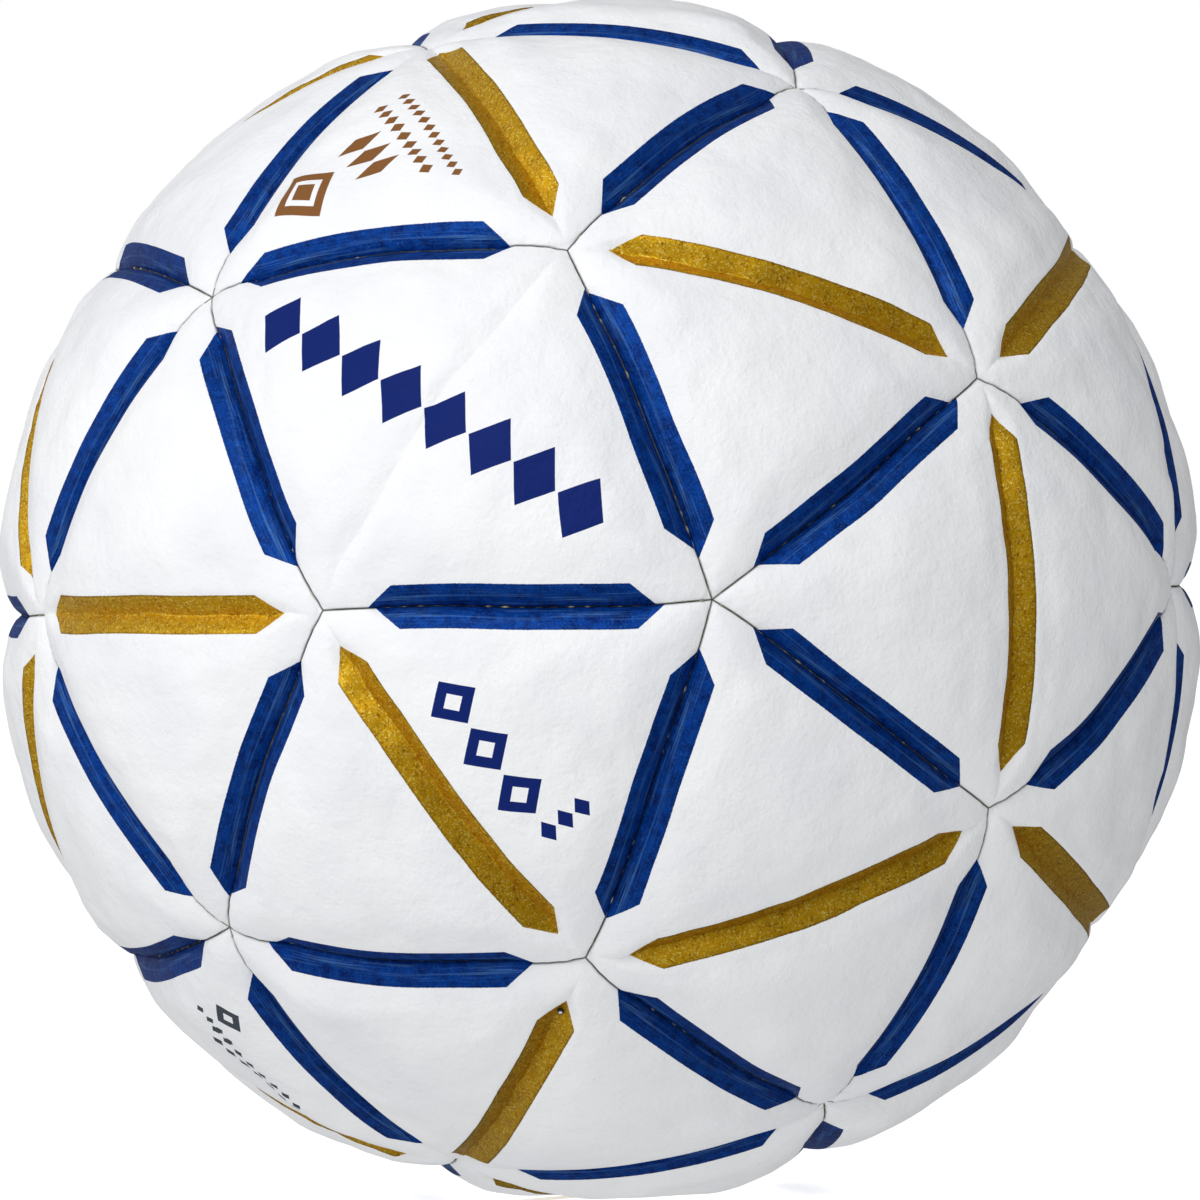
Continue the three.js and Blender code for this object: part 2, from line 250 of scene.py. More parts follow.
VALVE_PANEL = next(panel for panel in PANELS if panel["node"] == "valve_panel")
VALVE_CORNER = max((VALVE_PANEL["a"], VALVE_PANEL["b"]), key=lambda c: c @ unit((-1, -1, -1)))
VALVE_PANEL["slip"] = GROOVE_SLIP * (1 if VALVE_CORNER is VALVE_PANEL["a"] else -1)


# ---- Smooth noise on the ball ----

def noise(points, wavelength, seed, waves=18):
    """Smooth noise with a mean of 0 and a spread near 1, at points in millimetres."""
    random = np.random.default_rng(seed)
    directions = unit(random.normal(size=(waves, 3)))
    numbers = 2 * math.pi / wavelength * random.uniform(0.6, 1.5, waves)
    phases = random.uniform(0, 2 * math.pi, waves)
    total = np.sin(points @ (directions * numbers[:, None]).T + phases)
    return total.sum(1) * math.sqrt(2 / waves)


def wander(directions):
    """Moves directions a little along the ball, so that no seam is perfectly straight."""
    points = directions * CROWN
    shift = np.zeros_like(points)
    for wavelength, size, seeds in WANDERS:
        shift += size * np.stack([noise(points, wavelength, seed) for seed in seeds], 1)
    return unit(points + shift)


# ---- The skin ----

def smooth_step(x, low, high):
    t = np.clip((x - low) / (high - low), 0, 1)
    return t * t * (3 - 2 * t)


def soft_ramp(x, width):
    """max(0, x), with its corner rounded over a width."""
    return 0.5 * (x + np.sqrt(x * x + width * width))


def seam_normals(panel):
    """Inward normals of the seams ca, ad, bc and db, and the sharp corner of each."""
    a, b, c, d = (panel[key] for key in "abcd")
    pairs = ((c, a, c), (a, d, d), (b, c, c), (d, b, d))
    return [(unit(np.cross(p, q)), sharp) for p, q, sharp in pairs]


def measure(panel, directions):
    """Distances in mm: to each seam, along the nearest from its sharp corner, and the groove's."""
    seams = seam_normals(panel)
    to_seams = np.stack([CROWN * np.arcsin(directions @ n) for n, _ in seams], 1)
    closest = to_seams.argmin(1)
    sharp = np.stack([corner for _, corner in seams])[closest]
    runs = CROWN * np.arccos(np.clip((directions * sharp).sum(1), -1, 1))
    run = np.sqrt(np.maximum(runs**2 - to_seams.min(1) ** 2, 0))
    across = CROWN * np.arcsin(directions @ panel["groove"])
    along = CROWN * np.arcsin(directions @ unit(panel["a"] - panel["b"])) + panel.get("slip", 0)
    return to_seams, closest, run, across, along


def pressed_share(run):
    """Share of the pressed depth along a seam: all at the stripe, and less towards the corners."""
    inside = np.minimum(run - STRIPE_START, STRIPE_STOP - run)
    within = smooth_step(inside, -0.3 * PRESS_FADE, PRESS_FADE)
    return CORNER_SHARE + (1 - CORNER_SHARE) * within


def from_seams(to_seams):
    """Distance to the seams, rounded off where two of them are near."""
    return -CORNER_BLEND * np.log(np.exp(-to_seams / CORNER_BLEND).sum(1))


def seam_drop(d, run):
    """How far the seam's pressing and its turned-in edge take the skin down."""
    inside = np.clip(FOLD_RADIUS - d, 0, FOLD_RADIUS)
    fold = FOLD_RADIUS - np.sqrt(np.maximum(FOLD_RADIUS**2 - inside**2, 0))
    steep = FOLD_SLOPE * soft_ramp(FOLD_REACH - d, FOLD_ROUNDING)
    face = STRIPE_SLOPE * soft_ramp(STRIPE_REACH - d, STRIPE_ROUNDING)
    beat = np.cos(2 * math.pi * run / STITCH_PITCH)
    pucker = PUCKER * beat * smooth_step(PUCKER_REACH - d, 0, 1.6)
    return fold + (steep + face) * pressed_share(run) + pucker


def pillow_fall(distance):
    return np.clip(1 - distance / PILLOW_REACH, 0, 1) ** PILLOW_POWER


def pillow_drop(panel, d, across):
    """How far each half panel falls from its crown towards the seams and the groove."""
    share = CREASE_SHARE if panel["plain"] else GROOVE_SHARE
    falls = pillow_fall(np.maximum(d, 0)), share * pillow_fall(np.abs(across))
    return PILLOW_DROP * (falls[0] ** 3 + falls[1] ** 3) ** (1 / 3)


def groove_drop(panel, across, along):
    half, slope = GROOVE_HALF_WIDTH, GROOVE_SLOPE
    if panel["plain"]:
        half, slope = CREASE_HALF_WIDTH, CREASE_SLOPE
    tip = GROOVE_TIP + GROOVE_RUNOUT
    width = half * (1 - smooth_step(np.abs(along), GROOVE_TIP - GROOVE_END, tip))
    before_end = smooth_step(tip - np.abs(along), -1, 3)
    return slope * soft_ramp(width - np.abs(across), GROOVE_ROUNDING) * before_end


def dents(points):
    """Soft uneven places in the foam."""
    return sum(size * noise(points, wavelength, seed) for size, wavelength, seed in DENTS)


def pull_folds(directions):
    """Soft folds that run out from each corner, where the sewing pulls the skin."""
    total = np.zeros(len(directions))
    for number, corner in enumerate(FIVES + SIXES):
        away = directions - (directions @ corner)[:, None] * corner
        reach = CROWN * np.linalg.norm(away, axis=1)
        near = smooth_step(reach, *PULL_START) * (1 - smooth_step(reach, *PULL_END))
        mask = (near > 0) & (directions @ corner > 0)
        heading = unit(away[mask])
        total[mask] += near[mask] * noise(heading * 4.0, PULL_WAVE, PULL_SEED + number)
    return PULL_SIZE * total


def skin_points(panel, directions, lift=0):
    """The outer skin over directions from the ball's centre, in mm, and what was measured there."""
    to_seams, closest, run, across, along = measure(panel, directions)
    d = from_seams(to_seams)
    valley = across + VALLEY_WANDER * noise(directions * CROWN, VALLEY_WAVE, 31)
    drop = seam_drop(d, run) + pillow_drop(panel, d, across) + groove_drop(panel, valley, along)
    edge = to_seams.min(1)
    pressed = edge
    if not panel["plain"]:
        pressed = np.minimum(edge, np.maximum(np.abs(across), np.abs(along) - GROOVE_TIP))
    loose = PRESSED_LOOSE + (1 - PRESSED_LOOSE) * smooth_step(pressed, *PRESSED_ZONE)
    uneven = (dents(directions * CROWN) + pull_folds(directions)) * loose
    radius = CROWN - drop + uneven + lift
    points = wander(directions) * radius[:, None]
    floor = FLOOR_Z / MM
    points[:, 2] = floor + soft_ramp(points[:, 2] - floor, FLOOR_ROUNDING)
    return points, (edge, closest, run, across, along)


# ---- Panel meshes ----

def row_weight(t):
    t = np.asarray(t, float)
    return t**ROW_CLUSTER / (t**ROW_CLUSTER + (1 - t) ** ROW_CLUSTER)


def make_grid(rows):
    """Weights of the grid points over a panel, its faces, and its edge as a loop of indices."""
    weights, index = [], {}
    for k in range(-rows, rows + 1):
        for i in range(rows - abs(k) + 1):
            j = rows - abs(k) - i
            wi, wj, wk = (float(row_weight(n / rows)) for n in (i, j, abs(k)))
            index[k, i] = len(weights)
            weights.append((wi, wj, wk if k > 0 else 0, wk if k < 0 else 0))
    faces = []
    for side in (-1, 1):
        for row in range(rows):
            k, beyond = side * row, side * (row + 1)
            for i in range(rows - row):
                found = [(index[k, i + 1], index[k, i], index[beyond, i])]
                if i < rows - row - 1:
                    found.append((index[k, i + 1], index[beyond, i], index[beyond, i + 1]))
                faces += found if side > 0 else [face[::-1] for face in found]
    loop = [index[k, rows - abs(k)] for k in range(-rows, rows)]
    loop += [index[k, 0] for k in range(rows, -rows, -1)]
    return np.array(weights), faces, loop


GRID_WEIGHTS, GRID_FACES, GRID_LOOP = make_grid(ROWS)


def panel_directions(panel, weights):
    return unit(weights @ np.stack([panel[key] for key in "abcd"]))


# ---- Wrinkles, by cloth simulation ----

def held_share(panel, edge, across, along):
    """How firmly each point is held: fully where it is sewn or pressed, freely over the foam."""
    by_seam = 1 - smooth_step(edge, *HELD_BY_SEAM)
    if panel["plain"]:
        return by_seam
    past_tip = smooth_step(np.abs(along), GROOVE_TIP, GROOVE_TIP + 2)
    by_groove = (1 - smooth_step(np.abs(across), *HELD_BY_GROOVE)) * (1 - past_tip)
    return np.maximum(by_seam, by_groove)


def cloth_object(points, faces, held):
    piece = new_mesh_object("settling_skin", points * CLOTH_SCALE, faces)
    group = piece.vertex_groups.new(name="held")
    levels = np.round(held * HELD_LEVELS).astype(int)
    for level in range(1, HELD_LEVELS + 1):
        group.add(np.flatnonzero(levels == level).tolist(), level / HELD_LEVELS, "REPLACE")
    cloth = piece.modifiers.new("cloth", "CLOTH")
    settings = cloth.settings
    settings.vertex_group_mass = "held"
    settings.quality = 5
    settings.tension_stiffness = CLOTH_STIFFNESS
    settings.compression_stiffness = CLOTH_STIFFNESS
    settings.shear_stiffness = CLOTH_SHEAR
    settings.bending_stiffness = CLOTH_BENDING
    settings.shrink_min = -CLOTH_SLACK
    settings.use_pressure = True
    settings.uniform_pressure_force = CLOTH_PRESSURE
    settings.effector_weights.gravity = 0
    cloth.collision_settings.use_collision = False
    cloth.point_cache.frame_end = CLOTH_FRAMES
    return piece


def run_cloth(piece):
    """Steps the simulation, and gives where it leaves the points, in real mm. The object goes."""
    scene, mesh = bpy.context.scene, piece.data
    for step in range(1, CLOTH_FRAMES + 1):
        scene.frame_set(step)
    settled = piece.evaluated_get(bpy.context.evaluated_depsgraph_get()).data
    found = np.empty(len(mesh.vertices) * 3, np.float32)
    settled.vertices.foreach_get("co", found)
    scene.frame_set(1)
    bpy.data.objects.remove(piece)
    bpy.data.meshes.remove(mesh)
    return found.reshape(-1, 3) / (MM * CLOTH_SCALE)


def settle_panels():
    """Simulates a coarse skin over all panels. Each gets its directions and their heights in mm."""
    weights, faces, _ = make_grid(CLOTH_ROWS)
    weights = weights / weights.sum(1, keepdims=True)
    starts, holds, all_faces, directions = [], [], [], []
    for number, panel in enumerate(PANELS):
        directions.append(panel_directions(panel, weights))
        points, (edge, _, _, across, along) = skin_points(panel, directions[-1])
        starts.append(points)
        holds.append(held_share(panel, edge, across, along))
        all_faces += [tuple(v + number * len(weights) for v in face) for face in faces]
    start = np.concatenate(starts)
    moved = run_cloth(cloth_object(start, all_faces, np.concatenate(holds)))
    heights = np.linalg.norm(moved, axis=1) - np.linalg.norm(start, axis=1)
    heights = CLOTH_CAP * np.tanh(heights / CLOTH_CAP)
    for panel, ways, rise in zip(PANELS, directions, heights.reshape(len(PANELS), -1)):
        panel["settled"] = ways, rise


def settled_lift(panel, directions):
    """The simulated heights, carried over to finer directions, with none where the skin is held."""
    if "settled" not in panel:
        return 0
    ways, rise = panel["settled"]
    gaps = 2 * CROWN**2 * (1 - directions @ ways.T)
    shares = np.exp(-gaps / (2 * CLOTH_SMOOTH**2))
    to_seams, _, _, across, along = measure(panel, directions)
    free = 1 - held_share(panel, to_seams.min(1), across, along)
    return free * (shares @ rise) / shares.sum(1)


def edge_insets(panel):
    """For each point of the edge loop, the step that moves it 1 mm in from its seams."""
    normals = [n for n, _ in seam_normals(panel)]
    ca, ad, bc, db = normals
    corner = lambda m, n: (m + n) / (1 + m @ n)
    quarters = (
        (corner(ad, db), ad),
        (corner(ca, ad), ca),
        (corner(ca, bc), bc),
        (corner(bc, db), db),
    )
    return np.array([first if n == 0 else rest for first, rest in quarters for n in range(ROWS)])


def new_mesh_object(name, points_mm, faces, smooth=True):
    mesh = bpy.data.meshes.new(name)
    mesh.from_pydata((np.asarray(points_mm) * MM).tolist(), [], faces)
    mesh.update()
    if smooth:
        mesh.shade_smooth()
    piece = bpy.data.objects.new(name, mesh)
    bpy.context.scene.collection.objects.link(piece)
    return piece


def add_attribute(piece, name, values):
    made = piece.data.attributes.new(name, "FLOAT", "POINT")
    made.data.foreach_set("value", np.asarray(values, np.float32))


def ring_faces(first, second):
    """Quads between two loops of the same length."""
    count = len(first)
    return [
        (first[n], first[(n + 1) % count], second[(n + 1) % count], second[n]) for n in range(count)
    ]


def close_panel(panel, skin, rim):
    """Adds sewn edges and a back to a skin, whose rim is given as directions."""
    middle = panel["middle"]
    parts = [skin]
    parts += [wander(rim) * level for level in WALL_LEVELS]
    parts += [wander(unit(middle * (1 - share) + rim * share)) * LINING for share in BACK_SHARES]
    parts.append(middle[None] * LINING)
    starts = np.cumsum([0] + [len(part) for part in parts]).tolist()

    loops = [list(range(start, stop)) for start, stop in zip(starts[1:-2], starts[2:-1])]
    loops.insert(0, GRID_LOOP)
    faces = list(GRID_FACES)
    for first, second in zip(loops, loops[1:]):
        faces += ring_faces(first, second)
    centre, last = starts[-2], loops[-1]
    faces += [(last[n], last[(n + 1) % len(last)], centre) for n in range(len(last))]
    return np.concatenate(parts), faces


def panel_piece(panel, seed):
    """One closed panel: skin, sewn edges and back, with what its materials need to know."""
    directions = panel_directions(panel, GRID_WEIGHTS)
    rim = unit(directions[GRID_LOOP] * CROWN + edge_insets(panel) * EDGE_GAP)
    directions[GRID_LOOP] = rim
    lift = settled_lift(panel, directions)
    skin, (edge, closest, run, across, along) = skin_points(panel, directions, lift)
    points, faces = close_panel(panel, skin, rim)

    piece = new_mesh_object(panel["node"] + "_skin", points, faces)
    behind = len(points) - len(skin)
    random = np.random.default_rng(seed)
    slip = random.normal(0, MISPRINT, 4)
    widen = random.normal(0, WIDTH_ERROR, 4)
    pad = lambda values, fill: np.concatenate([values, np.full(behind, fill)])
    add_attribute(piece, "edge_mm", pad(edge - widen[closest], -1))
    add_attribute(piece, "seam_mm", pad(edge, 0))
    add_attribute(piece, "run_mm", pad(run + slip[closest], 0))
    add_attribute(piece, "across_mm", pad(across, 99))
    add_attribute(piece, "along_mm", pad(along, 99))
    return piece


# ---- Thread ----

def tube(route, radius, sides=6):
    """Points and faces of a closed tube along a route, its section square to the ball's radius."""
    ahead = unit(np.gradient(route, axis=0))
    up = unit(route)
    side = unit(np.cross(ahead, up))
    up = np.cross(side, ahead)
    angles = 2 * math.pi * np.arange(sides) / sides
    cosines, sines = np.cos(angles)[None, :, None], np.sin(angles)[None, :, None]
    ring = cosines * side[:, None] + sines * up[:, None]
    points = (route[:, None] + ring * radius).reshape(-1, 3)
    faces = []
    for start in range(0, (len(route) - 1) * sides, sides):
        first = list(range(start, start + sides))
        faces += ring_faces(first, [v + sides for v in first])
    faces.append(tuple(range(sides))[::-1])
    faces.append(tuple(range((len(route) - 1) * sides, len(route) * sides)))
    return points, faces


def stitch_route(five, six, seed):
    """The thread's path along one seam: it comes up to the seam's bottom once a stitch."""
    random = np.random.default_rng(seed)
    length = CROWN * SEAM_ANGLE
    run = np.arange(THREAD_END, length - THREAD_END, THREAD_STEP)
    swing = unit(np.cross(five, six))
    across = unit(np.cross(swing, five))
    angle = run / CROWN
    directions = np.cos(angle)[:, None] * five + np.sin(angle)[:, None] * across
    beat = 2 * math.pi * run / STITCH_PITCH
    stitch = np.floor(run / STITCH_PITCH).astype(int)
    depths = random.normal(0, THREAD_UNEVEN, stitch.max() + 1)[stitch]
    pressed = FOLD_SLOPE * FOLD_REACH + STRIPE_SLOPE * STRIPE_REACH
    bare = THREAD_HIDE * (1 - pressed_share(run))
    bottom = PILLOW_DROP + pressed * pressed_share(run) + bare
    depth = bottom + THREAD_SINK + depths + THREAD_SWING * np.cos(beat)
    return wander(directions) * (CROWN - depth)[:, None]


def thread_piece(five, node, seed):
    points, faces = [], []
    for arm, six in enumerate(nearest(SIXES, five)[:5]):
        route = stitch_route(five, six, seed + arm)
        arm_points, arm_faces = tube(route, THREAD_RADIUS)
        start = sum(len(p) for p in points)
        points.append(arm_points)
        faces += [tuple(start + v for v in face) for face in arm_faces]
    return new_mesh_object(node + "_stitches", np.concatenate(points), faces)


# ---- Materials ----

def new_material(name):
    material = bpy.data.materials.new(name)
    material.use_nodes = True
    tree = material.node_tree
    shader = next(n for n in tree.nodes if n.type == "BSDF_PRINCIPLED")
    return material, tree, shader


class Nodes:
    """Short ways to add nodes to a material's or the world's tree. Sizes are in mm."""

    def __init__(self, tree):
        self.tree = tree

    def put(self, socket, value):
        if isinstance(value, bpy.types.NodeSocket):
            self.tree.links.new(value, socket)
        else:
            socket.default_value = value

    def math(self, operation, *values):
        node = self.tree.nodes.new("ShaderNodeMath")
        node.operation = operation
        for socket, value in zip(node.inputs, values):
            self.put(socket, value)
        return node.outputs[0]

    def attribute(self, name):
        node = self.tree.nodes.new("ShaderNodeAttribute")
        node.attribute_name = name
        return node.outputs["Fac"]

    def position(self):
        return self.tree.nodes.new("ShaderNodeTexCoord").outputs["Object"]

    def noise(self, size_mm, detail=2.0, roughness=0.5):
        node = self.tree.nodes.new("ShaderNodeTexNoise")
        self.put(node.inputs["Vector"], self.position())
        node.inputs["Scale"].default_value = 1 / (size_mm * MM)
        node.inputs["Detail"].default_value = detail
        node.inputs["Roughness"].default_value = roughness
        return node.outputs["Fac"]

    def cells(self, size_mm, output="Distance"):
        node = self.tree.nodes.new("ShaderNodeTexVoronoi")
        self.put(node.inputs["Vector"], self.position())
        node.inputs["Scale"].default_value = 1 / (size_mm * MM)
        return node.outputs[output]

    def streaks(self, along, across, length_mm, width_mm):
        """Noise drawn out along one direction of the surface."""
        place = self.tree.nodes.new("ShaderNodeCombineXYZ")
        self.put(place.inputs["X"], self.math("DIVIDE", along, length_mm))
        self.put(place.inputs["Y"], self.math("DIVIDE", across, width_mm))
        node = self.tree.nodes.new("ShaderNodeTexNoise")
        self.put(node.inputs["Vector"], place.outputs[0])
        node.inputs["Scale"].default_value = 1.0
        node.inputs["Detail"].default_value = 3.0
        return node.outputs["Fac"]

    def ramp(self, value, low, high, to_low=0.0, to_high=1.0):
        node = self.tree.nodes.new("ShaderNodeMapRange")
        for socket, v in zip(node.inputs, (value, low, high, to_low, to_high)):
            self.put(socket, v)
        return node.outputs[0]

    def mix(self, share, first, second):
        node = self.tree.nodes.new("ShaderNodeMix")
        node.data_type = "RGBA"
        self.put(node.inputs["Factor"], share)
        self.put(node.inputs["A"], first)
        self.put(node.inputs["B"], second)
        return node.outputs["Result"]

    def mix_vectors(self, share, first, second):
        node = self.tree.nodes.new("ShaderNodeMix")
        node.data_type = "VECTOR"
        self.put(node.inputs["Factor"], share)
        self.put(node.inputs[4], first)
        self.put(node.inputs[5], second)
        return node.outputs[1]

    def bump(self, height, depth_mm, strength=1.0, after=None):
        node = self.tree.nodes.new("ShaderNodeBump")
        node.inputs["Strength"].default_value = strength
        node.inputs["Distance"].default_value = depth_mm * MM
        self.put(node.inputs["Height"], height)
        if after is not None:
            self.put(node.inputs["Normal"], after)
        return node.outputs[0]


def srgb(red, green, blue):
    """An 8-bit sRGB colour as the linear colour that shaders take."""
    channel = lambda v: v / 12.92 if v <= 0.04045 else ((v + 0.055) / 1.055) ** 2.4
    return tuple(channel(v / 255) for v in (red, green, blue)) + (1.0,)


WHITE = srgb(246, 247, 249)
WHITE_SHADE = srgb(237, 239, 243)
# painted shade: the olive grey put along the bottom of each seam
SEAM_PAINTED_SHADE = srgb(120, 122, 112)
BLUE = srgb(2, 60, 144)
BLUE_DEEP = srgb(0, 24, 88)
# painted highlight: the pale blue of the sheen along the fold, the sheen streaks and the glinting
# grain specks
BLUE_PAINTED_HIGHLIGHT = srgb(92, 140, 196)
NAVY = srgb(14, 36, 108)
GOLD = srgb(224, 174, 22)
GOLD_DARK = srgb(140, 74, 8)
# painted glint: the pale yellow that some flakes are lightened to
GOLD_PAINTED_GLINT = srgb(252, 228, 106)
GOLD_RIM = srgb(92, 58, 8)
BROWN = srgb(132, 88, 48)
PRINT_GREY = srgb(66, 74, 84)
THREAD_CREAM = srgb(200, 190, 156)
THREAD_DIRTY = srgb(70, 70, 62)

WHITE_ROUGHNESS = 0.5
BLUE_ROUGHNESS = 0.42
GOLD_ROUGHNESS = 0.45
WHITE_SHINE = 0.4  # the specular level of bare PU
INKED_SHINE = 0.07
BLUE_SHEEN = 0.4  # how metallic each ink is
GOLD_SHEEN = 0.85
FOLD_HIGHLIGHT = 0.75  # painted highlight: how far the blue is lightened along its fold's crest, over the rest
# painted sheen: how far the streaks lighten the blue away from its fold
SHEEN_STREAKS_ELSEWHERE = 0.14
# painted highlight: how far fine specks lighten the blue, as glints off its grain
BLUE_HIGHLIGHT_SPECKS = 0.3
FLAKE_SIZE = 0.23  # mm
GOLD_RIM_SHARE = 0.6
PRINT_ROUGHNESS = 0.12  # how uneven a stripe's edge is, mm
PRINT_SOFT = 0.03  # half the width over which the edge fades, mm


def stripe_mask(n, across, along_inside, half_width, end):
    """1 inside a stripe with pointed ends. along_inside is how far a point lies in from the tip."""
    full = n.math("MINIMUM", n.math("DIVIDE", along_inside, end), 1.0)
    taper = n.math("MULTIPLY", full, half_width)
    rough = n.math("MULTIPLY", n.math("SUBTRACT", n.noise(0.35), 0.5), PRINT_ROUGHNESS)
    inside = n.math("SUBTRACT", n.math("ADD", taper, rough), across)
    return n.ramp(inside, -PRINT_SOFT, PRINT_SOFT)


def rhombus_row(n, x, y, pitch, count, half_width, half_height):
    """1 inside a row of solid rhombi along x, centred on 0."""
    offset = 0.5 if count % 2 == 0 else 0.0
    steps = n.math("DIVIDE", x, pitch)
    local = n.math("SUBTRACT", n.math("FRACT", n.math("ADD", steps, 0.5 + offset)), 0.5)
    reach = n.math("DIVIDE", n.math("MULTIPLY", n.math("ABSOLUTE", local), pitch), half_width)
    rise = n.math("DIVIDE", n.math("ABSOLUTE", y), half_height)
    rhombus = n.ramp(n.math("ADD", reach, rise), 1.01, 0.99)
    in_row = n.math("LESS_THAN", n.math("ABSOLUTE", x), pitch * count / 2)
    return n.math("MULTIPLY", rhombus, in_row)


def turned(n, across, along, turn, centre):
    """Panel coordinates moved to a mark's centre and turned by an angle in degrees."""
    x = n.math("SUBTRACT", along, centre[0])
    y = n.math("SUBTRACT", across, centre[1])
    c, s = math.cos(math.radians(turn)), math.sin(math.radians(turn))
    across_turned = n.math("SUBTRACT", n.math("MULTIPLY", y, c), n.math("MULTIPLY", x, s))
    along_turned = n.math("ADD", n.math("MULTIPLY", x, c), n.math("MULTIPLY", y, s))
    return along_turned, across_turned


def rhombi(centre, turn, pitch, count, half_width, half_height, hole=0.0):
    """A printed mark: a row of rhombi about a centre (along, across), solid or with a hole."""
    def paint(n, across, along):
        x, y = turned(n, across, along, turn, centre)
        row = rhombus_row(n, x, y, pitch, count, half_width, half_height)
        if not hole:
            return row
        inner = rhombus_row(n, x, y, pitch, count, half_width * hole, half_height * hole)
        return n.math("SUBTRACT", row, inner)
    return paint


def blue_print(n, edge, seam, run):
    """Where the blue print lies, its colour with painted highlights along its fold and in pale
    streaks and specks, and the streaks in it.
    """
    from_start = n.math("SUBTRACT", run, STRIPE_START)
    from_stop = n.math("SUBTRACT", STRIPE_STOP, run)
    from_tips = n.math("MINIMUM", from_start, from_stop)
    mask = stripe_mask(n, edge, from_tips, STRIPE_HALF_WIDTH, STRIPE_END)
    paint = n.mix(n.ramp(n.noise(1.4, 4, 0.6), 0.4, 0.75), BLUE, BLUE_DEEP)
    streaks = n.streaks(run, seam, 12.0, 0.3)
    # painted highlight: a pale band along the fold's crest, from 0.2 to 2.2 mm off the seam, in
    # streaks
    by_fold = n.math("MULTIPLY", n.ramp(seam, 0.2, 0.7), n.ramp(seam, 2.2, 1.0))
    highlight_share = n.math("ADD", n.math("MULTIPLY", by_fold, FOLD_HIGHLIGHT), SHEEN_STREAKS_ELSEWHERE)
    sheen_streaks = n.math("MULTIPLY", n.ramp(streaks, 0.5, 0.8), highlight_share)
    # painted highlight: fine pale specks
    highlight_specks = n.ramp(n.noise(0.3, 3, 0.7), 0.55, 0.75, 0, BLUE_HIGHLIGHT_SPECKS)
    return mask, n.mix(n.math("MAXIMUM", sheen_streaks, highlight_specks), paint, BLUE_PAINTED_HIGHLIGHT), streaks


def gold_print(n, across, along):
    """Where the gold print lies, its colour with painted glints on some flakes, and its flakes' own
    normals.
    """
    off_middle = n.math("ABSOLUTE", across)
    from_tip = n.math("SUBTRACT", GROOVE_TIP, n.math("ABSOLUTE", along))
    half_width = GROOVE_HALF_WIDTH - 0.1
    mask = stripe_mask(n, off_middle, from_tip, half_width, GROOVE_END)
    patches = n.ramp(n.noise(1.1, 3), 0.35, 0.65)
    grains = n.ramp(n.noise(0.3, 3, 0.7), 0.45, 0.65)
    paint = n.mix(n.math("MULTIPLY", patches, grains), GOLD, GOLD_DARK)
    flakes = n.ramp(n.cells(FLAKE_SIZE, output="Color"), 0.1, 0.95)
    # painted glints: the flake cells with the highest values are lightened towards pale yellow
    paint = n.mix(n.ramp(flakes, 0.6, 0.95, 0, 0.9), paint, GOLD_PAINTED_GLINT)
    rim = n.ramp(off_middle, half_width - 0.3, half_width, 0, GOLD_RIM_SHARE)
    paint = n.mix(rim, paint, GOLD_RIM)
    normal = n.bump(flakes, 0.05, 0.9, n.bump(n.noise(0.6, 4, 0.6), 0.07, 0.8))
    return mask, paint, normal


def leather_normal(n, blue, streaks):
    """The grained skin's small shape: its pores, its soft wrinkles and the blue print's streaks."""
    pores = n.math("MULTIPLY", n.cells(0.62), 0.5)
    fine = n.math("MULTIPLY", n.noise(0.28, 2), 0.6)
    normal = n.bump(n.math("ADD", pores, fine), 0.08, 0.9)
    normal = n.bump(n.noise(1.5, 4, 0.6), 0.24, 0.8, normal)
    normal = n.bump(n.noise(4.5, 3), 0.4, 0.9, normal)
    return n.bump(n.math("MULTIPLY", streaks, blue), 0.12, 0.8, normal)


def cover_material(name, plain=False, marks=()):
    """White grained PU with blue print at the seams, gold print in the groove and any marks."""
    material, tree, shader = new_material(name)
    n = Nodes(tree)
    edge, seam, run = (n.attribute(key) for key in ("edge_mm", "seam_mm", "run_mm"))
    across, along = n.attribute("across_mm"), n.attribute("along_mm")

    blue, blue_paint, streaks = blue_print(n, edge, seam, run)
    white = n.mix(n.ramp(n.noise(18, 3), 0.35, 0.7), WHITE, WHITE_SHADE)
    # painted shade: the white darkens to olive grey within 0.24 mm of the seam line, at the bottom
    # of the seam
    white = n.mix(n.ramp(seam, 0.24, 0.05), white, SEAM_PAINTED_SHADE)
    colour = n.mix(blue, white, blue_paint)
    normal = leather_normal(n, blue, streaks)
    rough = n.ramp(blue, 0, 1, WHITE_ROUGHNESS, BLUE_ROUGHNESS)
    sheen = n.math("MULTIPLY", blue, BLUE_SHEEN)

    if not plain:
        gold, gold_paint, gold_normal = gold_print(n, across, along)
        colour = n.mix(gold, colour, gold_paint)
        normal = n.mix_vectors(gold, normal, gold_normal)
        rough = n.ramp(gold, 0, 1, rough, GOLD_ROUGHNESS)
        sheen = n.math("MAXIMUM", sheen, n.math("MULTIPLY", gold, GOLD_SHEEN))

    inked = blue
    for mark, paint in marks:
        shape = mark(n, across, along)
        inked = n.math("MAXIMUM", inked, shape)
        colour = n.mix(shape, colour, paint)

    tree.links.new(colour, shader.inputs["Base Color"])
    tree.links.new(sheen, shader.inputs["Metallic"])
    shine = n.ramp(inked, 0, 1, WHITE_SHINE, INKED_SHINE)
    tree.links.new(shine, shader.inputs["Specular IOR Level"])
    tree.links.new(rough, shader.inputs["Roughness"])
    tree.links.new(normal, shader.inputs["Normal"])
    return material


